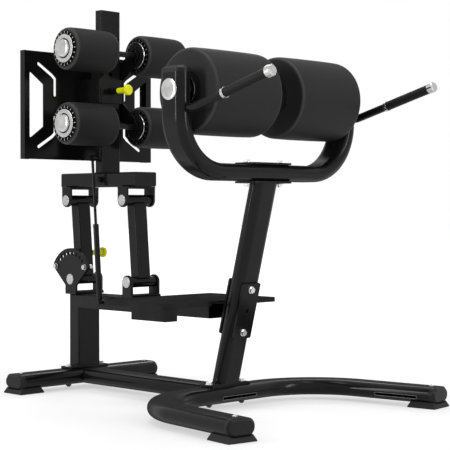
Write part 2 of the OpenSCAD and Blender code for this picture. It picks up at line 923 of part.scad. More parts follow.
// Cheek plate as an outline in X and Z: a body on the sleeve and an arm to each axle
module cheek() {
    reach = roller_x - mast_mid;
    rear = -plate_x;
    half = sleeve_h / 2;
    front = sleeve_d / 2;
    arm = axle_gap / 2;
    translate([rear, -half]) square([front - rear, 2 * half]);
    for (up = [0, 1]) mirror([0, up]) {
        polygon([
            [-front, half - 1], [front, half - 1], [front + 2, half],
            [reach + lobe_r - 14, arm - half + 10], [reach + lobe_r, arm],
            [reach, arm + lobe_r], [-front, half + 40]
        ]);
        translate([reach, arm]) circle(r = lobe_r);
    }
}

module carriage_sleeve() placed() color(black) {
    inner_w = mast_w + 2 * liner_t;
    inner_d = mast_d + 2 * liner_t;
    translate([mast_mid, 0, car_z]) {
        difference() {
            linear_extrude(height = sleeve_h, center = true) difference() {
                round_rect(sleeve_d, sleeve_w, 6);
                round_rect(inner_d, inner_w, 5);
            }
            rotate([0, 90, 0]) cylinder(d = housing_d, h = sleeve_d);
        }
        both_sides() translate([0, sleeve_w / 2 + cheek_t, 0]) along_y(cheek_t, false)
            difference() {
                cheek();
                for (up = [-1, 1]) translate([axle_x, up * axle_gap / 2])
                    circle(d = axle_d + 2 * run_fit);
            }
    }
    drop = car_z - sleeve_h / 2 - strut_z2;
    translate([strut_x2, -sleeve_w / 2, strut_z2]) along_y(cheek_t, false) {
        translate([-13, 0]) square([26, drop + 1]);
        circle(d = 26);
    }
    boss_in = strut_y - strut_eye_w / 2 - soft_gap;
    rod_y(strut_x2, strut_z2, 18, -boss_in, -sleeve_w / 2 - cheek_t);
}

// Plastic liners between the sleeve and the mast, one at each end of the sleeve
module sleeve_liners() placed() color(charcoal) {
    translate([mast_mid, 0, car_z]) for (side = [-1, 1]) {
        translate([0, 0, side * (sleeve_h / 2 - 12)])
            linear_extrude(height = 24, center = true) difference() {
                round_rect(mast_d + 2 * liner_t, mast_w + 2 * liner_t, 5);
                round_rect(mast_d + 2 * soft_gap, mast_w + 2 * soft_gap, 5);
            }
    }
}

// Directions along a path of points, and the mitred offset at each of its points
function unit(v) = v / norm(v);
function left_of(v) = [-v[1], v[0]];
function heading(points, i) = unit(points[i + 1] - points[i]);
function mitre(points, i) = let(
    last = len(points) - 2,
    after = left_of(heading(points, min(i, last))),
    before = left_of(heading(points, max(i - 1, 0))),
    middle = unit(after + before)) middle / (middle * after);

// Corner b between a and c, as points of an arc of radius r that touches both sides
function round_corner(a, b, c, r) = let(
    u = unit(a - b), v = unit(c - b), middle = unit(u + v),
    reach = r / norm(u - (u * middle) * middle),
    centre = b + reach * middle,
    start = b + u * (reach * (u * middle)) - centre,
    turn = 180 - acos(u * v), way = sign(left_of(u) * v))
    [for (i = [0 : 4]) let(t = -way * turn * i / 4)
        centre + [start[0] * cos(t) - start[1] * sin(t), start[0] * sin(t) + start[1] * cos(t)]];

// Closed outline with each corner rounded
function round_outline(points, r) = let(n = len(points)) [for (i = [0 : n - 1])
    each round_corner(points[(i + n - 1) % n], points[i], points[(i + 1) % n], r)];

// Narrow slot with round ends that follows a list of points
module slit(points) {
    n = len(points) - 1;
    r = slit_w / 2;
    start = heading(points, 0);
    end = heading(points, n - 1);
    polygon(concat(
        [for (i = [0 : n]) points[i] + r * mitre(points, i)],
        [for (t = [15 : 15 : 165]) points[n] + r * (cos(t) * left_of(end) + sin(t) * end)],
        [for (i = [n : -1 : 0]) points[i] - r * mitre(points, i)],
        [for (t = [15 : 15 : 165]) points[0] - r * (cos(t) * left_of(start) + sin(t) * start)]
    ));
}

// Window in the kick plate's side: four points with round corners
module window() {
    polygon(round_outline([[272, 117], [213, 74], [213, -74], [272, -117]], 4));
}

module kick_plate() placed() color(black) {
    translate([plate_face, 0, kick_z]) {
        rotate([90, 0, -90]) linear_extrude(height = plate_t) difference() {
            square([2 * plate_half, plate_h], center = true);
            for (side = [0, 1]) mirror([side, 0]) {
                window();
                for (up = [0, 1]) mirror([0, up])
                    slit([[233, 145], [174, 108], [161.5, 96], [161.5, 40]]);
            }
        }
        both_sides() {
            translate([-fold_d, plate_half - plate_t, -plate_h / 2])
                cube([fold_d, plate_t, plate_h]);
            translate([-fold_d, plate_half - lip_w, -plate_h / 2])
                cube([plate_t, lip_w, plate_h]);
        }
    }
}

module roller_axles() placed() color(black) {
    for (z = roller_zs) rod_y(roller_x, z, axle_d, -axle_half, axle_half);
}

// Chrome cap on an axle's end: a disc with a dome, turned about the axle
module end_cap() {
    rotate([-90, 0, 0]) rotate_extrude() polygon([
        [0, 0], [disc_d / 2 - 1, 0], [disc_d / 2, 1], [disc_d / 2, disc_t - 1],
        [disc_d / 2 - 1, disc_t], [dome_d / 2 + 3, disc_t], [dome_d / 2 + 2, disc_t - 2],
        [dome_d / 2, disc_t - 2], [dome_d / 2 - 1, disc_t + dome_h - 5],
        [dome_d / 2 - 4, disc_t + dome_h - 2], [dome_d / 2 - 10, disc_t + dome_h - 0.5],
        [0, disc_t + dome_h]
    ]);
}

module roller_end_caps() placed() color(chrome) {
    for (z = roller_zs) both_sides() translate([roller_x, axle_half, z]) end_cap();
}

module mast_pin_housing() placed() color(black) {
    translate([mast_mid, 0, car_z]) rotate([0, 90, 0]) difference() {
        union() {
            translate([0, 0, mast_d / 2 + 1]) cylinder(d = housing_d, h = 36);
            translate([0, 0, sleeve_d / 2]) cylinder(d = housing_d + 6, h = 6);
        }
        cylinder(d = pin_d + 2 * run_fit, h = 100);
    }
}

module mast_pin() placed() color(yellow) {
    translate([mast_mid, 0, car_z]) rotate([0, 90, 0]) {
        translate([0, 0, mast_d / 2 + pin_clear]) cylinder(d = pin_d, h = 44);
        translate([0, 0, mast_d / 2 + 42]) knob(42);
    }
}

// Foam cylinder with a slightly crowned side and rounded edges, from y1 along +Y
module foam(x, z, d, y1, length, edge, bore) {
    crown = 1.5;
    steps = 6;
    round_in = [for (i = [0 : steps])
        [d / 2 - crown - edge + edge * sin(90 * i / steps), edge - edge * cos(90 * i / steps)]];
    round_out = [for (i = [steps : -1 : 0])
        [d / 2 - crown - edge + edge * sin(90 * i / steps),
         length - edge + edge * cos(90 * i / steps)]];
    translate([x, y1, z]) rotate([-90, 0, 0]) rotate_extrude() polygon(concat(
        [[bore / 2, 4], [bore / 2 + 8, 0]], round_in,
        [[d / 2, length / 2]], round_out,
        [[bore / 2 + 8, length], [bore / 2, length - 4]]
    ));
}

// One foot roller's foam at an axle height, on the +Y side
module roller_foam(z) {
    foam(roller_x, z, roller_d, roller_in, roller_l, roller_edge, hub_core_d);
}

// Flange of a hub at a foam's end: a disc with square ribs standing out around it
module hub_flange() {
    rod_y(0, 0, disc_d - 4, 0, hub_flange_t + 0.2);
    for (i = [0 : hub_ribs - 1]) rotate([0, i * 360 / hub_ribs, 0])
        translate([disc_d / 2 - 6, 0, -hub_rib_w / 2])
            cube([(hub_d - disc_d) / 2 + 6, hub_flange_t, hub_rib_w]);
}

// Hub pair of a foot roller: a core with a ribbed flange at each end and a disc inboard
module roller_hubs(z) {
    far = roller_in + roller_l;
    translate([roller_x, 0, z]) difference() {
        union() {
            rod_y(0, 0, hub_core_d - 2 * soft_gap, roller_in - 1, far + 1);
            translate([0, far + soft_gap, 0]) hub_flange();
            translate([0, roller_in - soft_gap, 0]) mirror([0, 1, 0]) hub_flange();
            rod_y(0, 0, disc_d, roller_in - inner_disc_out, roller_in - hub_flange_t);
        }
        rod_y(0, 0, axle_d + 2 * run_fit, roller_in - inner_disc_out - 1, far + 4);
        rod_y(0, 0, bearing_d, roller_in - inner_disc_out - 1, roller_in - inner_disc_out + 2);
    }
}

module upper_left_foam() placed() color(charcoal) roller_foam(roller_zs[0]);

module upper_left_hubs() placed() color(rubber) roller_hubs(roller_zs[0]);

module upper_right_foam() placed() color(charcoal) mirror([0, 1, 0]) roller_foam(roller_zs[0]);

module upper_right_hubs() placed() color(rubber) mirror([0, 1, 0]) roller_hubs(roller_zs[0]);

module lower_left_foam() placed() color(charcoal) roller_foam(roller_zs[1]);

module lower_left_hubs() placed() color(rubber) roller_hubs(roller_zs[1]);

module lower_right_foam() placed() color(charcoal) mirror([0, 1, 0]) roller_foam(roller_zs[1]);

module lower_right_hubs() placed() color(rubber) mirror([0, 1, 0]) roller_hubs(roller_zs[1]);

// Middle of the yoke tube for one outline: bottom, two bends and two arms
module yoke_path() {
    flat = arm_y - yoke_bend_r;
    floor_z = front_post_z + top_plate_t + tube_t / 2;
    translate([post_top_x, 0, floor_z]) {
        along_y(2 * flat) children();
        both_sides() {
            translate([0, flat, yoke_bend_r]) rotate([0, 90, 0])
                rotate_extrude(angle = 90, $fn = 128) translate([yoke_bend_r, 0])
                    rotate(90) children();
            translate([0, arm_y, yoke_bend_r])
                linear_extrude(height = arm_top - cap_t - floor_z - yoke_bend_r) children();
        }
    }
}

module yoke() placed() color(black) {
    difference() {
        yoke_path() oval_wall();
        post_bolts(post_top_x) translate([0, 0, front_post_z])
            cylinder(d = bolt_d + bolt_fit, h = 2 * tube_t);
        rod_y(post_top_x, pad_z, hip_shaft_d, -arm_out - 1, arm_out + 1);
    }
}

module yoke_top_plate() placed() color(black) {
    z = front_post_z + top_plate_t + tube_t;
    difference() {
        translate([post_top_x, 0, z]) linear_extrude(height = top_plate_t)
            round_rect(top_plate_w, post_plate_l, 12);
        post_bolts(post_top_x) translate([0, 0, z - 1])
            cylinder(d = bolt_d + bolt_fit, h = top_plate_t + 2);
    }
}

// Handle bar: a short level foot out of the arm's nose, a bend and the sloping length
module handle_bars() placed() color(black) {
    both_sides() translate([bar_foot_x, bar_y, bar_foot_z]) {
        difference() {
            translate([-12, 0, 0]) rotate([0, 90, 0])
                cylinder(d = bar_d, h = 12 + bar_knee - bar_tangent - weld_gap);
            translate([-tube_w / 2, arm_y - bar_y, 0])
                linear_extrude(height = 4 * bar_d, center = true) flat_oval(tube_w, tube_t);
        }
        on_bar() {
            translate([-bar_bend_r, 0, bar_tangent]) rotate([-90, 0, 0])
                rotate_extrude(angle = bar_slope, $fn = 96)
                    translate([bar_bend_r, 0]) circle(d = bar_d);
            translate([0, 0, bar_tangent]) cylinder(d = bar_d, h = bar_l - bar_tangent);
        }
    }
}

// Frame on the sloping part of a handle bar, Z running along it
module on_bar() {
    translate([bar_knee, 0, 0]) rotate([0, 90 - bar_slope, 0]) children();
}

// A sleeve on the sloping part of a handle bar, from s1 to s2
module bar_sleeve(s1, s2, d) {
    both_sides() translate([bar_foot_x, bar_y, bar_foot_z]) on_bar()
        translate([0, 0, s1]) difference() {
            cylinder(d = d, h = s2 - s1);
            translate([0, 0, -1]) cylinder(d = bar_d + 2 * run_fit, h = s2 - s1 + 2);
        }
}

module handle_rings() placed() color(chrome) {
    bar_sleeve(bare_l, bare_l + 2 * ring_t, grip_d + 3);
}

module handle_grips() placed() color(rubber) {
    bar_sleeve(grip_from, bar_l - bar_cap_l + 4, grip_d);
}

module handle_end_caps() placed() color(chrome) {
    bar_sleeve(bar_l - bar_cap_l + 4, bar_l, grip_d + 4);
    both_sides() translate([bar_foot_x, bar_y, bar_foot_z]) on_bar()
        translate([0, 0, bar_l]) cylinder(d1 = grip_d + 4, d2 = grip_d - 2, h = 4);
}

module hip_shaft() placed() color(zinc) {
    rod_y(post_top_x, pad_z, hip_shaft_d, -arm_out, arm_out);
}

// Chrome parts on the hip shaft: a domed cap outside each arm, a collar ring inside it
module hip_shaft_caps() placed() color(chrome) {
    both_sides() translate([post_top_x, arm_out, pad_z]) rotate([-90, 0, 0])
        rotate_extrude() polygon([
            [0, 0], [arm_cap_d / 2 - 2, 0], [arm_cap_d / 2, 1], [arm_cap_d / 2 - 1, 3],
            [arm_cap_d / 2 - 9, 5], [0, 5.5]
        ]);
    both_sides() difference() {
        rod_y(post_top_x, pad_z, 90, arm_in - 14, arm_in - 8);
        rod_y(post_top_x, pad_z, hip_shaft_d, 0, arm_in);
    }
    both_sides() difference() {
        rod_y(post_top_x, pad_z, 50, arm_in - 8, arm_in);
        rod_y(post_top_x, pad_z, hip_shaft_d, 0, arm_in + 1);
    }
}

// Hip pad on the +Y side
module hip_pad() {
    foam(post_top_x, pad_z, hip_d, hip_in, hip_l, hip_edge, hip_core_d);
}

// Hub of a hip pad: a core with a boss that stands out of the pad towards the arm
module hip_hubs() {
    far = hip_in + hip_l;
    difference() {
        union() {
            rod_y(post_top_x, pad_z, hip_core_d - 2 * soft_gap, hip_in + 2, far - 2);
            rod_y(post_top_x, pad_z, 84, hip_in + 2, arm_in - 15);
        }
        rod_y(post_top_x, pad_z, hip_shaft_d + 2 * run_fit, 0, arm_in);
    }
}

module left_hip_pad() placed() color(charcoal) hip_pad();

module left_hip_hubs() placed() color(rubber) hip_hubs();

module right_hip_pad() placed() color(charcoal) mirror([0, 1, 0]) hip_pad();

module right_hip_hubs() placed() color(rubber) mirror([0, 1, 0]) hip_hubs();

// Stud on the upper beam's side that the strut's lower eye turns on
module strut_lower_stud() placed() color(black) {
    out = strut_y + strut_eye_w / 2;
    rod_y(strut_x1, strut_z1, stud_d, -out - 2, -beam_w / 2);
    rod_y(strut_x1, strut_z1, 18, -out + strut_eye_w + soft_gap, -beam_w / 2);
    rod_y(strut_x1, strut_z1, 18, -out - 5, -out - soft_gap);
}

// Frame at the strut's lower eye, Z running up the strut
module on_strut() {
    translate([strut_x1, -strut_y, strut_z1]) rotate([0, strut_tilt, 0]) children();
}

module strut_cylinder() placed() color(black) {
    on_strut() difference() {
        union() {
            rod_y(0, 0, strut_eye_d, -strut_eye_w / 2, strut_eye_w / 2);
            translate([0, 0, strut_neck]) cylinder(d = strut_d, h = strut_cyl_l - strut_neck);
        }
        rod_y(0, 0, stud_d + 2 * run_fit, -strut_d, strut_d);
        translate([0, 0, 3 * strut_neck])
            cylinder(d = strut_rod_d + 2 * run_fit, h = strut_cyl_l);
    }
}

module strut_rod() placed() color(black) {
    start = strut_cyl_l - strut_lap;
    on_strut() {
        translate([0, 0, start]) cylinder(d = strut_rod_d, h = strut_l - start);
        rod_y(0, strut_l, strut_eye_d, -strut_eye_w / 2, strut_eye_w / 2);
        rod_y(0, strut_l, 14, -strut_eye_w / 2 - 4, -strut_eye_w / 2);
    }
}

rear_base_tube();
main_beam();
front_base_tube();
tube_end_caps();
slot_trims();
rubber_feet();
foot_screws();
rear_post();
upper_beam();
front_post();
clamp_plate();
frame_bolts();
step_platform();
lower_link_brackets();
sector_plate();
stop_bolts();
lower_pivot_bolts();
yoke();
yoke_top_plate();
handle_bars();
handle_rings();
handle_grips();
handle_end_caps();
hip_shaft();
hip_shaft_caps();
strut_lower_stud();
rear_link();
rear_link_bushes();
link_pin_housing();
link_pin();
front_link();
front_link_bushes();
top_beam();
top_tube_caps();
upper_link_brackets();
upper_pivot_bolts();
mast();
carriage_sleeve();
sleeve_liners();
kick_plate();
roller_axles();
roller_end_caps();
mast_pin_housing();
mast_pin();
upper_left_foam();
upper_left_hubs();
upper_right_foam();
upper_right_hubs();
lower_left_foam();
lower_left_hubs();
lower_right_foam();
lower_right_hubs();
left_hip_pad();
left_hip_hubs();
right_hip_pad();
right_hip_hubs();
strut_cylinder();
strut_rod();
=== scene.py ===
# %% [markdown]
# # A glute ham developer, dressed
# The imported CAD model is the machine's skeleton: every tube, bolt and pin is already in place and
# in metres. This script gives each of those pieces its finish, models the soft pads and rollers
# and the small trim again as real meshes, and sets up a studio and a camera like the photograph's.

# %% Load the frame
import json
import math

import bmesh
import bpy
from mathutils import Matrix, Vector


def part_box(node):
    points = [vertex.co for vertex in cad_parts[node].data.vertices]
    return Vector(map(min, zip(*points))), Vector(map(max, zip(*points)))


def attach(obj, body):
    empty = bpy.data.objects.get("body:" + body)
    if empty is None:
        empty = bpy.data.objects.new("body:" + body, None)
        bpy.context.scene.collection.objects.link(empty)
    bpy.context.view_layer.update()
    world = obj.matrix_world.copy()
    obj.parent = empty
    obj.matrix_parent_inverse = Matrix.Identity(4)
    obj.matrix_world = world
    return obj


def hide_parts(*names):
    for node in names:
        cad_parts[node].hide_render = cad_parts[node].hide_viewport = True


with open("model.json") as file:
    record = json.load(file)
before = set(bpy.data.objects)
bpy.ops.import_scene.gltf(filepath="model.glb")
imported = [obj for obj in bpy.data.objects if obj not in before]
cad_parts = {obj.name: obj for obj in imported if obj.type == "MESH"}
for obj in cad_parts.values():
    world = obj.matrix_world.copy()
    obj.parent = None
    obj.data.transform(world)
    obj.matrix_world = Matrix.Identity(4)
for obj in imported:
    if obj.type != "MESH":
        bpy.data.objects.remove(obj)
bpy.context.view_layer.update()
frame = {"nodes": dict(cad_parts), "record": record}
nodes = frame["nodes"]
MM = 0.001

# %% [markdown]
# ## The camera
# The photograph's camera was worked out from the machine's straight edges. It stands 0.65 m
# above the floor, 45 degrees round from the side, with a long lens, so verticals stay nearly
# parallel. Its place is measured from the rear post, whose middle the CAD puts in the middle of
# the rear base tube.

# %% Camera at the photograph's angle
rear_low, rear_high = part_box("rear_base_tube")
rear_post_x = (rear_low.x + rear_high.x) / 2
CAMERA_FROM_POST = Vector((3.848, -3.124, 0.647))
CAMERA_AZIMUTH = math.radians(45.0)
CAMERA_PITCH = math.radians(0.71)
PHOTO_WIDTH = 450
FOCAL_PIXELS = 1352
SENSOR_MM = 36.0

camera_data = bpy.data.cameras.new("photo_camera")
camera_data.sensor_width = SENSOR_MM
camera_data.lens = SENSOR_MM * FOCAL_PIXELS / PHOTO_WIDTH
camera = bpy.data.objects.new("photo_camera", camera_data)
bpy.context.scene.collection.objects.link(camera)
camera.location = CAMERA_FROM_POST + Vector((rear_post_x, 0, 0))
camera.rotation_euler = (math.pi / 2 - CAMERA_PITCH, 0, CAMERA_AZIMUTH)
bpy.context.scene.camera = camera
print("camera at", [round(v, 3) for v in camera.location], "lens", round(camera_data.lens, 1))

# %% [markdown]
# ## The studio
# The machine is black on white, so what shows its shapes is what it reflects. Four large soft
# lamps give long pale edges to the tubes. The floor and the world are white to the camera and to
# reflections, while the light that falls on the machine stays plain. Away from the machine the
# floor glows a little more, so that it runs into the white behind it without a line.

# %% World, floor and lamps
scene = bpy.context.scene
scene.view_settings.view_transform = "Standard"
WORLD_LIGHT = 0.40
FLOOR_SHADE = 0.9
FLOOR_GLOW_NEAR = 1.12
FLOOR_GLOW_FAR = 2.10
FLOOR_GLOW_SHARE = 0.48
NEAR_DISTANCE = 1.0
FAR_DISTANCE = 4.0


def seen_directly(tree):
    """1 for what the camera sees straight, in a reflection or through glass, and else 0."""
    path = tree.nodes.new("ShaderNodeLightPath")
    total = path.outputs["Is Camera Ray"]
    for ray in ("Is Glossy Ray", "Is Transmission Ray"):
        add = tree.nodes.new("ShaderNodeMath")
        add.operation = "ADD"
        add.use_clamp = True
        tree.links.new(total, add.inputs[0])
        tree.links.new(path.outputs[ray], add.inputs[1])
        total = add.outputs[0]
    return total


world = bpy.data.worlds.new("studio_air")
scene.world = world
world.use_nodes = True
air_tree = world.node_tree
background = air_tree.nodes["Background"]
background.inputs["Color"].default_value = (1, 1, 1, 1)
air_strength = air_tree.nodes.new("ShaderNodeMix")
air_strength.inputs[2].default_value = WORLD_LIGHT
air_strength.inputs[3].default_value = 1.0
air_tree.links.new(seen_directly(air_tree), air_strength.inputs[0])
air_tree.links.new(air_strength.outputs[0], background.inputs["Strength"])

bpy.ops.mesh.primitive_plane_add(size=60, location=(0, 0, 0))
floor = bpy.context.object
floor.name = "studio_floor"
floor_material = bpy.data.materials.new("studio_floor")
floor_material.use_nodes = True
floor_tree = floor_material.node_tree
floor_shader = floor_tree.nodes["Principled BSDF"]
floor_shader.inputs["Base Color"].default_value = (FLOOR_SHADE, FLOOR_SHADE, FLOOR_SHADE, 1)
floor_shader.inputs["Roughness"].default_value = 0.6
floor_glow = floor_tree.nodes.new("ShaderNodeEmission")
floor_place = floor_tree.nodes.new("ShaderNodeTexCoord")
floor_distance = floor_tree.nodes.new("ShaderNodeVectorMath")
floor_distance.operation = "LENGTH"
floor_rise = floor_tree.nodes.new("ShaderNodeMapRange")
floor_rise.inputs["From Min"].default_value = NEAR_DISTANCE
floor_rise.inputs["From Max"].default_value = FAR_DISTANCE
floor_rise.inputs["To Min"].default_value = FLOOR_GLOW_NEAR
floor_rise.inputs["To Max"].default_value = FLOOR_GLOW_FAR
floor_tree.links.new(floor_place.outputs["Object"], floor_distance.inputs[0])
floor_tree.links.new(floor_distance.outputs["Value"], floor_rise.inputs["Value"])
floor_tree.links.new(floor_rise.outputs[0], floor_glow.inputs["Strength"])
floor_mix = floor_tree.nodes.new("ShaderNodeMixShader")
floor_share = floor_tree.nodes.new("ShaderNodeMath")
floor_share.operation = "MULTIPLY"
floor_share.inputs[1].default_value = FLOOR_GLOW_SHARE
floor_tree.links.new(seen_directly(floor_tree), floor_share.inputs[0])
floor_tree.links.new(floor_share.outputs[0], floor_mix.inputs[0])
floor_tree.links.new(floor_shader.outputs[0], floor_mix.inputs[1])
floor_tree.links.new(floor_glow.outputs[0], floor_mix.inputs[2])
floor_tree.links.new(floor_mix.outputs[0], floor_tree.nodes["Material Output"].inputs["Surface"])
floor.data.materials.append(floor_material)


def soft_lamp(name, place, aim, width, height, power):
    """A large area lamp at a place, turned to its aim."""
    lamp_data = bpy.data.lights.new(name, "AREA")
    lamp_data.shape = "RECTANGLE"
    lamp_data.size, lamp_data.size_y = width, height
    lamp_data.energy = power
    lamp = bpy.data.objects.new(name, lamp_data)
    scene.collection.objects.link(lamp)
    lamp.location = place
    lamp.rotation_euler = (Vector(aim) - Vector(place)).to_track_quat("-Z", "Y").to_euler()


machine_middle = (0, 0, 0.7)
soft_lamp("overhead_lamp", (0.2, -0.3, 3.4), machine_middle, 2.6, 0.5, 38)
soft_lamp("left_lamp", (-1.4, -3.4, 1.7), machine_middle, 0.5, 2.6, 62)
soft_lamp("right_lamp", (3.6, 0.6, 1.9), machine_middle, 0.5, 2.6, 55)
soft_lamp("rear_lamp", (-2.6, 2.8, 2.2), machine_middle, 1.2, 1.2, 30)

# %% [markdown]
# ## Shared effects
# Several finishes share the same small flaws: a fine grain in the surface, and broad soft
# patches where it is a little duller. Each is built once as a node group with named inputs, and
# every material uses it with its own values. All of them read Object coordinates, so a pattern
# keeps its real size on every piece.

# %% Node groups for grain and patches


def new_group(name, inputs, outputs):
    """An empty shader node group with float inputs and the named outputs."""
    group = bpy.data.node_groups.new(name, "ShaderNodeTree")
    for label, value in inputs:
        socket = group.interface.new_socket(label, in_out="INPUT", socket_type="NodeSocketFloat")
        socket.default_value = value
    for label, kind in outputs:
        group.interface.new_socket(label, in_out="OUTPUT", socket_type=kind)
    return group, group.nodes.new("NodeGroupInput"), group.nodes.new("NodeGroupOutput")


def noise_in(group, source, scale_label, detail, roughness):
    """A noise texture on Object coordinates whose scale is a group input."""
    place = group.nodes.new("ShaderNodeTexCoord")
    noise = group.nodes.new("ShaderNodeTexNoise")
    noise.inputs["Detail"].default_value = detail
    noise.inputs["Roughness"].default_value = roughness
    group.links.new(place.outputs["Object"], noise.inputs["Vector"])
    group.links.new(source.outputs[scale_label], noise.inputs["Scale"])
    return noise


def grain_group():
    """Fine grain for a bump, crossed with a coarser ripple: powder coat's orange peel."""
    group, source, sink = new_group(
        "fine_grain",
        [("Grain Scale", 900.0), ("Ripple Scale", 160.0), ("Ripple Share", 0.4)],
        [("Height", "NodeSocketFloat")])
    grain = noise_in(group, source, "Grain Scale", 2.0, 0.5)
    ripple = noise_in(group, source, "Ripple Scale", 1.0, 0.5)
    blend = group.nodes.new("ShaderNodeMix")
    group.links.new(source.outputs["Ripple Share"], blend.inputs[0])
    group.links.new(grain.outputs[0], blend.inputs[2])
    group.links.new(ripple.outputs[0], blend.inputs[3])
    group.links.new(blend.outputs[0], sink.inputs["Height"])
    return group


def patch_group():
    """Broad patches: a roughness that wanders between two values, and a mask for the colour."""
    group, source, sink = new_group(
        "soft_patches",
        [("Patch Scale", 6.0), ("Low", 0.3), ("High", 0.4)],
        [("Value", "NodeSocketFloat"), ("Mask", "NodeSocketFloat")])
    cloud = noise_in(group, source, "Patch Scale", 5.0, 0.6)
    spread = group.nodes.new("ShaderNodeMapRange")
    spread.inputs["From Min"].default_value = 0.3
    spread.inputs["From Max"].default_value = 0.7
    group.links.new(cloud.outputs[0], spread.inputs["Value"])
    group.links.new(source.outputs["Low"], spread.inputs["To Min"])
    group.links.new(source.outputs["High"], spread.inputs["To Max"])
    group.links.new(spread.outputs[0], sink.inputs["Value"])
    group.links.new(cloud.outputs[0], sink.inputs["Mask"])
    return group


fine_grain = grain_group()
soft_patches = patch_group()
print("groups:", fine_grain.name, soft_patches.name)

# %% [markdown]
# ## The finishes
# One function builds a finish from two colours, a range of roughness and a bump, because the
# machine's finishes differ mostly in those. What sets each apart, such as chrome's metal or the
# foam's sheen, is set straight on the shader's own sockets.

# %% A finish from two colours, a roughness range and a bump


def finish(name, dark, light, rough, bump=0.1, grain=900.0, ripple=160.0, ripple_share=0.4,
           patch=6.0, depth=0.0003, rim=None, rim_highlight_colour=None, **sockets):
    """A Principled material; rough is a pair, rim the roughness seen at a slant, the rim highlight
    colour a painted highlight where the mesh's rim highlight attribute is 1, and sockets are shader
    inputs by name."""
    material = bpy.data.materials.new(name)
    material.use_nodes = True
    tree = material.node_tree
    shader = tree.nodes["Principled BSDF"]
    patches = tree.nodes.new("ShaderNodeGroup")
    patches.node_tree = soft_patches
    patches.inputs["Patch Scale"].default_value = patch
    patches.inputs["Low"].default_value = rough[0]
    patches.inputs["High"].default_value = rough[1]
    tree.links.new(patches.outputs["Value"], shader.inputs["Roughness"])
    if rim is not None:
        slant = tree.nodes.new("ShaderNodeLayerWeight")
        slant.inputs["Blend"].default_value = 0.5
        share = tree.nodes.new("ShaderNodeMapRange")
        share.inputs["From Min"].default_value = 0.55
        share.inputs["From Max"].default_value = 0.88
        duller = tree.nodes.new("ShaderNodeMix")
        duller.inputs[3].default_value = rim
        tree.links.new(slant.outputs["Facing"], share.inputs["Value"])
        tree.links.new(share.outputs[0], duller.inputs[0])
        tree.links.new(patches.outputs["Value"], duller.inputs[2])
        tree.links.new(duller.outputs[0], shader.inputs["Roughness"])
    ramp = tree.nodes.new("ShaderNodeValToRGB")
    ramp.color_ramp.elements[0].position = 0.3
    ramp.color_ramp.elements[0].color = (*dark, 1)
    ramp.color_ramp.elements[1].position = 0.7
    ramp.color_ramp.elements[1].color = (*light, 1)
    tree.links.new(patches.outputs["Mask"], ramp.inputs[0])
    tree.links.new(ramp.outputs[0], shader.inputs["Base Color"])
    # Painted highlight: a lighter colour mixed into the base colour where the rim highlight
    # attribute is 1.
    if rim_highlight_colour is not None:
        highlight_mask = tree.nodes.new("ShaderNodeAttribute")
        highlight_mask.attribute_name = "rim_highlight_share"
        highlighted = tree.nodes.new("ShaderNodeMix")
        highlighted.data_type = "RGBA"
        highlighted.inputs[7].default_value = (*rim_highlight_colour, 1)
        tree.links.new(highlight_mask.outputs["Fac"], highlighted.inputs["Factor"])
        tree.links.new(ramp.outputs[0], highlighted.inputs[6])
        tree.links.new(highlighted.outputs[2], shader.inputs["Base Color"])
    surface = tree.nodes.new("ShaderNodeGroup")
    surface.node_tree = fine_grain
    surface.inputs["Grain Scale"].default_value = grain
    surface.inputs["Ripple Scale"].default_value = ripple
    surface.inputs["Ripple Share"].default_value = ripple_share
    relief = tree.nodes.new("ShaderNodeBump")
    relief.inputs["Strength"].default_value = bump
    relief.inputs["Distance"].default_value = depth
    tree.links.new(surface.outputs["Height"], relief.inputs["Height"])
    tree.links.new(relief.outputs[0], shader.inputs["Normal"])
    for socket, value in sockets.items():
        shader.inputs[socket.replace("_", " ")].default_value = value
    return material


powder_coat = finish("black_powder_coat", (0.0055, 0.0055, 0.0057), (0.0085, 0.0085, 0.0088),
                     (0.15, 0.21), bump=0.05, rim=0.95, Specular_IOR_Level=0.14)
deck_coat = finish("black_deck_coat", (0.018, 0.018, 0.0185), (0.030, 0.030, 0.031),
                   (0.78, 0.86), bump=0.5, grain=700.0, Specular_IOR_Level=0.0)
bright_chrome = finish("bright_chrome", (0.43, 0.43, 0.425), (0.58, 0.58, 0.575),
                       (0.08, 0.18), bump=0.05, patch=30.0, Metallic=1.0)
cast_chrome = finish("cast_chrome", (0.24, 0.24, 0.238), (0.62, 0.62, 0.615),
                     (0.16, 0.30), bump=0.3, patch=260.0, Metallic=1.0)
zinc = finish("zinc_plate", (0.58, 0.58, 0.58), (0.74, 0.74, 0.73),
              (0.22, 0.32), bump=0.15, patch=40.0, Metallic=1.0)
# The foam's lighter rim colour is a painted highlight on its rounded edge.
foam_skin = finish("charcoal_foam_skin", (0.011, 0.011, 0.0113), (0.0155, 0.0155, 0.0159),
                   (0.55, 0.65), bump=0.35, grain=520.0, ripple=60.0, ripple_share=0.25,
                   depth=0.0006, rim_highlight_colour=(0.046, 0.046, 0.047), Specular_IOR_Level=0.15)
tread_rubber = finish("black_rubber", (0.008, 0.008, 0.008), (0.014, 0.014, 0.014),
                      (0.62, 0.78), bump=0.4, grain=600.0, patch=14.0, Specular_IOR_Level=0.25)
grip_rubber = finish("grip_rubber", (0.005, 0.005, 0.005), (0.009, 0.009, 0.009),
                     (0.5, 0.62), bump=0.4, grain=1200.0, patch=20.0, Specular_IOR_Level=0.15)
moulded_plastic = finish("moulded_plastic", (0.008, 0.008, 0.008), (0.013, 0.013, 0.013),
                         (0.36, 0.48), bump=0.3, grain=700.0, patch=18.0, rim=0.9,
                         Specular_IOR_Level=0.15)
hub_black = finish("hub_black", (0.0015, 0.0015, 0.0015), (0.003, 0.003, 0.003),
                   (0.6, 0.75), bump=0.3, grain=700.0, patch=18.0, Specular_IOR_Level=0.05)
trim_plastic = finish("trim_plastic", (0.06, 0.06, 0.06), (0.09, 0.09, 0.09),
                      (0.16, 0.24), bump=0.15, grain=900.0, patch=24.0)
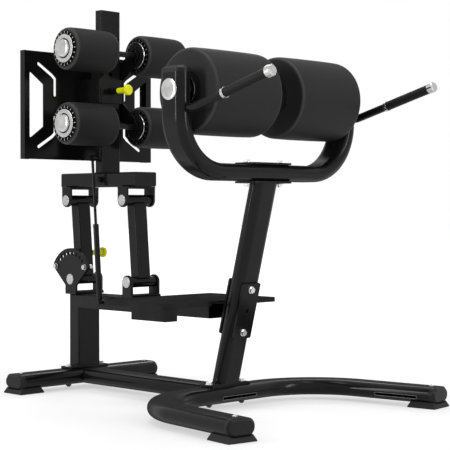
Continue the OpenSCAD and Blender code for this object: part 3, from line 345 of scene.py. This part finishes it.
yellow_plastic = finish("yellow_plastic", (0.82, 0.83, 0.000), (0.92, 0.93, 0.002),
                        (0.24, 0.34), bump=0.08, patch=30.0, Specular_IOR_Level=0.35)
print("finishes:", len(bpy.data.materials))

# %% [markdown]
# ## Dressing the CAD pieces
# A CAD mesh comes as loose triangles. Modifiers join them and merge flat faces, a fine bevel
# softens the hard edges so that they catch the light, and weighted normals keep flat faces flat.
# The mesh itself is never touched, so every piece stays exactly where the frame has it.

# %% Finish and edges for every CAD node
SLOT_FINISH = {
    "black_powder_coat": powder_coat,
    "chrome": bright_chrome,
    "zinc_steel": zinc,
    "black_rubber": tread_rubber,
    "grip_rubber": grip_rubber,
    "charcoal_foam": foam_skin,
    "yellow_plastic": yellow_plastic,
    "black_plastic": moulded_plastic,
}
node_slot = {row["node"]: row["material_slot"] for row in frame["record"]["subparts"]}
EDGE_ROUND = {"black_powder_coat": 0.9 * MM, "yellow_plastic": 1.2 * MM, "black_plastic": 0.7 * MM,
              "black_rubber": 0.8 * MM}
OWN_FINISH = {"step_platform": deck_coat, "slot_trims": trim_plastic,
              "lower_pivot_bolts": cast_chrome, "upper_pivot_bolts": cast_chrome}
OTHER_EDGE_ROUND = 0.4 * MM
SHARP = math.radians(30)


def dress(node, edge):
    """Welds, bevels and shades a CAD node through modifiers alone."""
    piece = nodes[node]
    piece.data.polygons.foreach_set("use_smooth", [True] * len(piece.data.polygons))
    weld = piece.modifiers.new("join_triangles", "WELD")
    weld.merge_threshold = 0.00001
    flat = piece.modifiers.new("merge_flats", "DECIMATE")
    flat.decimate_type = "DISSOLVE"
    flat.angle_limit = math.radians(0.5)
    if edge:
        bevel = piece.modifiers.new("soft_edges", "BEVEL")
        bevel.width = edge
        bevel.segments = 2
        bevel.limit_method = "ANGLE"
        bevel.angle_limit = SHARP
        bevel.use_clamp_overlap = True
    normals = piece.modifiers.new("even_normals", "WEIGHTED_NORMAL")
    normals.keep_sharp = True
    if not edge:
        split = piece.modifiers.new("sharp_edges", "EDGE_SPLIT")
        split.split_angle = SHARP


for node, slot_name in node_slot.items():
    nodes[node].data.materials.clear()
    nodes[node].data.materials.append(OWN_FINISH.get(node, SLOT_FINISH[slot_name]))
    dress(node, EDGE_ROUND.get(slot_name, OTHER_EDGE_ROUND))
print("dressed", len(node_slot), "nodes")

# %% [markdown]
# ## Pieces of two finishes
# A pull pin is one piece in the CAD: a yellow moulded knob and neck on a steel pin. The frame's
# bolts are zinc on top and coloured black below a height, which takes in the nuts that hang under
# the tubes. Their finish changes at one place along an axis, which the mask reads from Object
# coordinates.

# %% Yellow knobs on steel pins, zinc bolts coloured black below the tubes


def split_finish(node, finish_above, axis, limit, colour_below, metal_above, metal_below):
    """One finish beyond a place on an axis, and another colour and metalness before it."""
    material = finish_above.copy()
    material.name = node + "_finish"
    tree = material.node_tree
    shader = tree.nodes["Principled BSDF"]
    place = tree.nodes.new("ShaderNodeTexCoord")
    split = tree.nodes.new("ShaderNodeSeparateXYZ")
    below = tree.nodes.new("ShaderNodeMath")
    below.operation = "LESS_THAN"
    below.inputs[1].default_value = limit
    tree.links.new(place.outputs["Object"], split.inputs[0])
    tree.links.new(split.outputs[axis], below.inputs[0])
    colour = tree.nodes.new("ShaderNodeMix")
    colour.data_type = "RGBA"
    above = shader.inputs["Base Color"].links[0].from_socket
    tree.links.new(below.outputs[0], colour.inputs["Factor"])
    tree.links.new(above, colour.inputs[6])
    colour.inputs[7].default_value = (*colour_below, 1)
    tree.links.new(colour.outputs[2], shader.inputs["Base Color"])
    metal = tree.nodes.new("ShaderNodeMix")
    metal.inputs[2].default_value = metal_above
    metal.inputs[3].default_value = metal_below
    tree.links.new(below.outputs[0], metal.inputs[0])
    tree.links.new(metal.outputs[0], shader.inputs["Metallic"])
    nodes[node].data.materials.clear()
    nodes[node].data.materials.append(material)


STEEL = (0.70, 0.70, 0.70)
BLACK_BELOW = (0.010, 0.010, 0.010)
LINK_KNOB = 63 * MM
MAST_KNOB = 57 * MM
NUTS_BELOW = 40 * MM
link_pin_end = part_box("link_pin")[1].y
mast_pin_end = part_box("mast_pin")[1].x
split_finish("link_pin", yellow_plastic, 1, link_pin_end - LINK_KNOB, STEEL, 0.0, 1.0)
split_finish("mast_pin", yellow_plastic, 0, mast_pin_end - MAST_KNOB, STEEL, 0.0, 1.0)
split_finish("frame_bolts", zinc, 2, NUTS_BELOW, BLACK_BELOW, 1.0, 0.0)
print("split finishes:", [nodes[n].data.materials[0].name
                          for n in ("link_pin", "mast_pin", "frame_bolts")])

# %% [markdown]
# ## Tools of the bench
# The new pieces are modelled with the same operators that a person would use in the window.
# These helpers put a piece into edit mode with exactly the faces or edges that a test picks, and
# settle a finished piece at the origin with its place in its mesh.

# %% Helpers for modelling with operators


def deselect_all():
    """Nothing stays selected, so that an operator acts only on what comes next."""
    for piece in bpy.context.selected_objects:
        piece.select_set(False)


def pick_faces(test):
    """In edit mode, selects the faces whose centre and normal pass the test."""
    bpy.ops.mesh.select_mode(type="FACE")
    bpy.ops.mesh.select_all(action="DESELECT")
    mesh = bmesh.from_edit_mesh(bpy.context.object.data)
    for face in mesh.faces:
        face.select_set(test(face.calc_center_median(), face.normal))
    bmesh.update_edit_mesh(bpy.context.object.data)


def pick_edges(test):
    """In edit mode, selects the edges whose two ends pass the test."""
    bpy.ops.mesh.select_mode(type="EDGE")
    bpy.ops.mesh.select_all(action="DESELECT")
    mesh = bmesh.from_edit_mesh(bpy.context.object.data)
    for edge in mesh.edges:
        edge.select_set(test(edge.verts[0].co, edge.verts[1].co))
    bmesh.update_edit_mesh(bpy.context.object.data)


def edge_radius(point):
    """Distance of a point from the local Z axis."""
    return math.hypot(point.x, point.y)


def settle(piece, name, material, body, transform=None):
    """Names, places, finishes and shades a piece, and lets it ride on its body."""
    if transform is not None:
        piece.data.transform(transform)
    piece.name = name
    piece.data.name = name
    piece.data.materials.clear()
    piece.data.materials.append(material)
    deselect_all()
    piece.select_set(True)
    bpy.context.view_layer.objects.active = piece
    bpy.ops.object.shade_smooth_by_angle(angle=SHARP)
    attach(piece, body)
    return piece


def turned_cylinder(radius, length, sides, fill="NGON"):
    """A cylinder primitive at the origin along Z, in edit mode and with nothing selected."""
    deselect_all()
    bpy.ops.mesh.primitive_cylinder_add(vertices=sides, radius=radius, depth=length,
                                        end_fill_type=fill)
    bpy.ops.object.mode_set(mode="EDIT")
    bpy.ops.mesh.select_all(action="DESELECT")
    return bpy.context.object


def open_bore():
    """Deletes the picked end faces and joins the two open rims with a wall."""
    bpy.ops.mesh.delete(type="FACE")
    bpy.ops.mesh.select_mode(type="EDGE")
    bpy.ops.mesh.select_all(action="DESELECT")
    bpy.ops.mesh.select_non_manifold()
    bpy.ops.mesh.bridge_edge_loops()


Z_TO_PLUS_Y = Matrix.Rotation(-math.pi / 2, 4, "X")

# %% [markdown]
# ## Foam rollers and hip pads
# Each roller is a thick foam tube with a smooth skin. It swells a little in the middle, its ends
# are rounded over, and the skin dips where the plastic hub holds it. A cylinder is cut into
# rings, the rims are bevelled round, the middle rings are scaled up for the crown, and the ends
# are inset, pushed in around the hub and joined through the bore. The rounded edge gets a
# painted highlight, a lighter colour that an attribute of the mesh carries to the skin's colour.

# %% One foam roller
FLAT_LIP = 9 * MM
LIP = 7 * MM
LIP_EDGE = 2 * MM
LIP_DEPTH = 5 * MM
LEVEL_AROUND_HUB = 12 * MM
RING_SHARES = (-0.97, -0.75, -0.5, -0.25, 0.0, 0.25, 0.5, 0.75, 0.97)


def foam_roller(name, node, body, hub_radius, edge, crown):
    """A foam piece in the space of its CAD node, lying along Y."""
    low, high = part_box(node)
    radius = (high.z - low.z) / 2
    length = high.y - low.y
    middle = (low + high) / 2
    piece = turned_cylinder(radius - crown, length, 96)
    pick_faces(lambda centre, normal: abs(normal.z) > 0.9)
    bpy.ops.mesh.inset(thickness=radius - crown - hub_radius - FLAT_LIP)
    bpy.ops.mesh.inset(thickness=LIP)
    bpy.ops.mesh.inset(thickness=LIP_EDGE, depth=-LIP_DEPTH)
    open_bore()
    rim = length / 2 - 1e-5
    pick_edges(lambda a, b: min(abs(a.z), abs(b.z)) > rim
               and min(edge_radius(a), edge_radius(b)) > radius - crown - 1e-4)
    bpy.ops.mesh.bevel(offset=edge, segments=8, profile=0.5)
    flat = length / 2 - edge
    for share in RING_SHARES:
        bpy.ops.mesh.select_all(action="SELECT")
        bpy.ops.mesh.bisect(plane_co=(0, 0, share * flat), plane_no=(0, 0, 1))
    bpy.ops.object.mode_set(mode="OBJECT")
    for vertex in piece.data.vertices:
        distance = edge_radius(vertex.co)
        if distance > hub_radius + LEVEL_AROUND_HUB and abs(vertex.co.z) < flat:
            swell = crown * (1 - (vertex.co.z / flat) ** 4)
            vertex.co.x *= (distance + swell) / distance
            vertex.co.y *= (distance + swell) / distance
    smooth = piece.modifiers.new("soft_foam", "SUBSURF")
    smooth.levels = smooth.render_levels = 1
    bpy.ops.object.modifier_apply(modifier=smooth.name)
    # Painted highlight: an attribute that peaks partway round the rounded edge and lightens the
    # skin's colour there.
    highlight_mask = piece.data.attributes.new("rim_highlight_share", "FLOAT", "POINT")
    for vertex, mark in zip(piece.data.vertices, highlight_mask.data):
        past = (abs(vertex.co.z) - flat) / edge
        out = (edge_radius(vertex.co) - (radius - crown - edge)) / edge
        turn = math.atan2(max(past, 0.0), max(out, 1e-6)) / (math.pi / 2)
        mark.value = max(0.0, math.sin(math.pi * turn)) ** 3 if past > 0 and out > 0 else 0.0
    place = Matrix.Translation(middle) @ Z_TO_PLUS_Y
    settle(piece, name, foam_skin, body, place)
    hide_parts(node)
    return piece


ROLLER_NAMES = ("upper_left", "upper_right", "lower_left", "lower_right")
HIP_SIDES = ("left", "right")
FOOT_HUB_RADIUS = 30 * MM
HIP_HUB_RADIUS = 55 * MM
FOOT_RIM = 12 * MM
HIP_RIM = 13 * MM
CROWN = 1.5 * MM
for roller in ROLLER_NAMES:
    foam_roller(roller + "_foam_skin", roller + "_foam", roller + "_roller",
                FOOT_HUB_RADIUS, FOOT_RIM, CROWN)
for side in HIP_SIDES:
    foam_roller(side + "_hip_pad_skin", side + "_hip_pad", side + "_hip_roller",
                HIP_HUB_RADIUS, HIP_RIM, CROWN)
print("foam pieces:", len(ROLLER_NAMES) + len(HIP_SIDES))

# %% [markdown]
# ## Hub collars
# At both ends of each foot roller the hub shows as a black collar around the metal, with a circle
# of small bright blocks on its ribs as painted highlights on the rib ends. The collar is a flat
# ring made from a cylinder, and the blocks are one small block spun round the axis. A black ring
# lies in the groove round the dome of each chrome end cap as painted shade, so the groove shows
# dark.

# %% Collars, painted rib highlights and painted groove shade
COLLAR_INNER = 46 * MM
COLLAR_OUTER = 59.5 * MM
COLLAR_THICK = 1.8 * MM
COLLAR_LIFT = 0.3 * MM
RIB_COUNT = 20
MARK_SIZE = (7 * MM, 1.6 * MM, 0.8 * MM)
MARK_RADIUS = 55.5 * MM
MARK_LIFT = 3.5 * MM
SHADE_RING_RADIUS = 33 * MM
SHADE_RING_WIRE = 1.4 * MM
SHADE_RING_BELOW_DOME = 10.2 * MM


def collar(name, body, place):
    """A flat black ring, closed all round."""
    piece = turned_cylinder(COLLAR_OUTER, COLLAR_THICK, 96)
    pick_faces(lambda centre, normal: abs(normal.z) > 0.9)
    bpy.ops.mesh.inset(thickness=COLLAR_OUTER - COLLAR_INNER)
    open_bore()
    bpy.ops.object.mode_set(mode="OBJECT")
    settle(piece, name, hub_black, body, place)


def rib_glint_blocks(name, body, place):
    """Small bright blocks in a circle, one on each rib of the hub, as painted highlights on the rib
    ends.
    """
    deselect_all()
    bpy.ops.mesh.primitive_cube_add(size=1)
    bpy.ops.object.mode_set(mode="EDIT")
    bpy.ops.mesh.select_all(action="SELECT")
    bpy.ops.transform.resize(value=MARK_SIZE)
    bpy.ops.transform.translate(value=(MARK_RADIUS, 0, 0))
    bpy.ops.mesh.spin(steps=RIB_COUNT - 1, angle=2 * math.pi * (RIB_COUNT - 1) / RIB_COUNT,
                      center=(0, 0, 0), axis=(0, 0, 1), dupli=True)
    bpy.ops.object.mode_set(mode="OBJECT")
    settle(bpy.context.object, name, zinc, body, place)


def groove_shade_ring(name, body, place):
    """A thin black ring in the groove round the dome of an end cap, as painted shade that keeps the
    groove dark.
    """
    deselect_all()
    bpy.ops.mesh.primitive_torus_add(major_segments=64, minor_segments=8,
                                     major_radius=SHADE_RING_RADIUS, minor_radius=SHADE_RING_WIRE)
    settle(bpy.context.object, name, hub_black, body, place)


# Painted shade: a black ring sits in each end cap's groove so that the groove shows dark.
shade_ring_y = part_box("roller_end_caps")[1].y - SHADE_RING_BELOW_DOME
for roller in ROLLER_NAMES:
    low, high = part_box(roller + "_foam")
    middle = (low + high) / 2
    inner_face, outer_face = sorted((low.y, high.y), key=abs)
    for end, face in (("inner", inner_face), ("outer", outer_face)):
        away = 1 if face > middle.y else -1
        axis = Matrix.Rotation(-away * math.pi / 2, 4, "X")
        for make, part, lift in ((collar, "collar", COLLAR_LIFT),
                                 (rib_glint_blocks, "marks", MARK_LIFT)):
            spot = Vector((middle.x, face + away * lift, middle.z))
            make(f"{roller}_{end}_{part}", roller + "_roller", Matrix.Translation(spot) @ axis)
    spot = Vector((middle.x, math.copysign(shade_ring_y, middle.y), middle.z))
    groove_shade_ring(roller + "_seal", "carriage", Matrix.Translation(spot) @ Z_TO_PLUS_Y)
print("collars, marks and seals:", 5 * len(ROLLER_NAMES))

# %% [markdown]
# ## Inner ends of the rollers
# The roller ends that face the middle of the machine show a thin bright ring around the black
# disc of the hub. The ring is a torus pressed a little flat, lying on the disc's face.

# %% Bright rings
RING_RADIUS = 46 * MM
RING_WIRE = 1.8 * MM
RING_FLATNESS = 0.8


def bright_ring(name, body, place):
    """A thin ring with a slightly flattened section."""
    deselect_all()
    bpy.ops.mesh.primitive_torus_add(major_segments=72, minor_segments=12,
                                     major_radius=RING_RADIUS, minor_radius=RING_WIRE)
    bpy.ops.object.mode_set(mode="EDIT")
    bpy.ops.mesh.select_all(action="SELECT")
    bpy.ops.transform.resize(value=(1, 1, RING_FLATNESS))
    bpy.ops.object.mode_set(mode="OBJECT")
    settle(bpy.context.object, name, bright_chrome, body, place)


for roller in ROLLER_NAMES:
    low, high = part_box(roller + "_hubs")
    disc_face = low.y if low.y > 0 else high.y
    ring_middle = Vector(((low.x + high.x) / 2, disc_face, (low.z + high.z) / 2))
    bright_ring(roller + "_inner_ring", roller + "_roller",
                Matrix.Translation(ring_middle) @ Z_TO_PLUS_Y)
print("inner rings:", len(ROLLER_NAMES))

# %% [markdown]
# ## Ribbed grips
# The hand grips are rubber sleeves with fine rings round them. A tube is cut into many short
# rings, and every second one is swollen a little, which is quicker than modelling each rib and
# keeps the mesh in one piece. The sleeve lies along the handle bar, whose line runs through the
# middles of its chrome ring and end cap.

# %% Grips on both handle bars
GRIP_RINGS = 44
RIB = 0.5 * MM


def side_box(node, sign):
    """Lowest and highest corner of the half of a node that lies on one side of the machine."""
    points = [v.co for v in nodes[node].data.vertices if v.co.y * sign > 0]
    return (Vector(min(p[i] for p in points) for i in range(3)),
            Vector(max(p[i] for p in points) for i in range(3)))


def ribbed_grip(name, sign):
    """A rubber sleeve in the place of one CAD grip."""
    low, high = side_box("handle_grips", sign)
    cap_low, cap_high = side_box("handle_end_caps", sign)
    ring_low, ring_high = side_box("handle_rings", sign)
    line = ((cap_low + cap_high) - (ring_low + ring_high)).normalized()
    radius = (high.y - low.y) / 2
    length = (high.x - low.x - 2 * radius * abs(line.z)) / line.x
    piece = turned_cylinder(radius - RIB, length, 32)
    for cut in range(1, GRIP_RINGS):
        bpy.ops.mesh.select_all(action="SELECT")
        height = length * (cut / GRIP_RINGS - 0.5)
        bpy.ops.mesh.bisect(plane_co=(0, 0, height), plane_no=(0, 0, 1))
    bpy.ops.object.mode_set(mode="OBJECT")
    step = length / GRIP_RINGS
    for vertex in piece.data.vertices:
        ring = round((vertex.co.z + length / 2) / step)
        if ring % 2 and 0 < ring < GRIP_RINGS:
            distance = edge_radius(vertex.co)
            vertex.co.x *= (distance + RIB) / distance
            vertex.co.y *= (distance + RIB) / distance
    turn = line.to_track_quat("Z", "Y").to_matrix().to_4x4()
    place = Matrix.Translation((low + high) / 2) @ turn
    return settle(piece, name, grip_rubber, "frame", place)


left_grip = ribbed_grip("left_grip_sleeve", 1)
right_grip = ribbed_grip("right_grip_sleeve", -1)
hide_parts("handle_grips")
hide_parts("handle_grips")
print("grips:", left_grip.name, right_grip.name)

# %% [markdown]
# ## Weld beads
# The posts and the mast are welded to their plates, which the coat covers but doesn't hide. A
# bead starts as a torus of radius 1. Each of its points then moves to the same share of the way
# round the tube's outline, and the bead swells and shrinks a little along it, like the scales
# that a welder leaves.

# %% Beads round the feet of the posts and the mast
BEAD_WIRE = 2.6 * MM
SCALE_PITCH = 5 * MM
SCALE_SWELL = 0.14
PLATE_TOP = 76 * MM
FRONT_POST_FROM_REAR = 726 * MM
REAR_POST_OUTLINE = (27 * MM, 50 * MM, 6 * MM)
FRONT_POST_OUTLINE = (27.4 * MM, 50 * MM, 27 * MM)
MAST_CORNER = 5 * MM


def outline_point(share, half_x, half_y, corner):
    """Point and outward direction at a share of the way round a rounded rectangle."""
    quarters = []
    for turn, centre_x, centre_y, straight in (
            (0, 1, 1, 2 * (half_x - corner)), (1, -1, 1, 2 * (half_y - corner)),
            (2, -1, -1, 2 * (half_x - corner)), (3, 1, -1, 2 * (half_y - corner))):
        centre = Vector((centre_x * (half_x - corner), centre_y * (half_y - corner)))
        quarters.append((turn * math.pi / 2, centre, straight))
    arc = corner * math.pi / 2
    along = (share % 1.0) * sum(arc + straight for _, _, straight in quarters)
    for start, centre, straight in quarters:
        if along <= arc:
            angle = start + along / corner
            out = Vector((math.cos(angle), math.sin(angle)))
            return centre + corner * out, out
        along -= arc
        if along <= straight:
            angle = start + math.pi / 2
            out = Vector((math.cos(angle), math.sin(angle)))
            ahead = Vector((-math.sin(angle), math.cos(angle)))
            return centre + corner * out + along * ahead, out
        along -= straight
    return quarters[0][1] + Vector((corner, 0)), Vector((1, 0))


def weld_bead(name, body, middle, half_x, half_y, corner):
    """A bead on a level plate, round a tube whose outline is a rounded rectangle."""
    round_length = 4 * (half_x + half_y) - (8 - 2 * math.pi) * corner
    scales = round(round_length / SCALE_PITCH)
    deselect_all()
    bpy.ops.mesh.primitive_torus_add(major_segments=6 * scales, minor_segments=8,
                                     major_radius=1.0, minor_radius=BEAD_WIRE)
    piece = bpy.context.object
    for vertex in piece.data.vertices:
        share = math.atan2(vertex.co.y, vertex.co.x) / (2 * math.pi)
        spot, out = outline_point(share, half_x, half_y, corner)
        swell = 1.0 + SCALE_SWELL * math.cos(2 * math.pi * scales * share)
        away = (edge_radius(vertex.co) - 1.0) * swell
        vertex.co = (spot.x + out.x * away, spot.y + out.y * away, vertex.co.z * swell)
    settle(piece, name, powder_coat, body, Matrix.Translation(middle))


front_post_x = rear_post_x + FRONT_POST_FROM_REAR
mast_low, mast_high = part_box("mast")
mast_foot = Vector(((mast_low.x + mast_high.x) / 2, 0, mast_low.z))
weld_bead("rear_post_bead", "frame", Vector((rear_post_x, 0, PLATE_TOP)), *REAR_POST_OUTLINE)
weld_bead("front_post_bead", "frame", Vector((front_post_x, 0, PLATE_TOP)), *FRONT_POST_OUTLINE)
weld_bead("mast_bead", "top_frame", mast_foot,
          (mast_high.x - mast_low.x) / 2, (mast_high.y - mast_low.y) / 2, MAST_CORNER)
print("beads: 3")
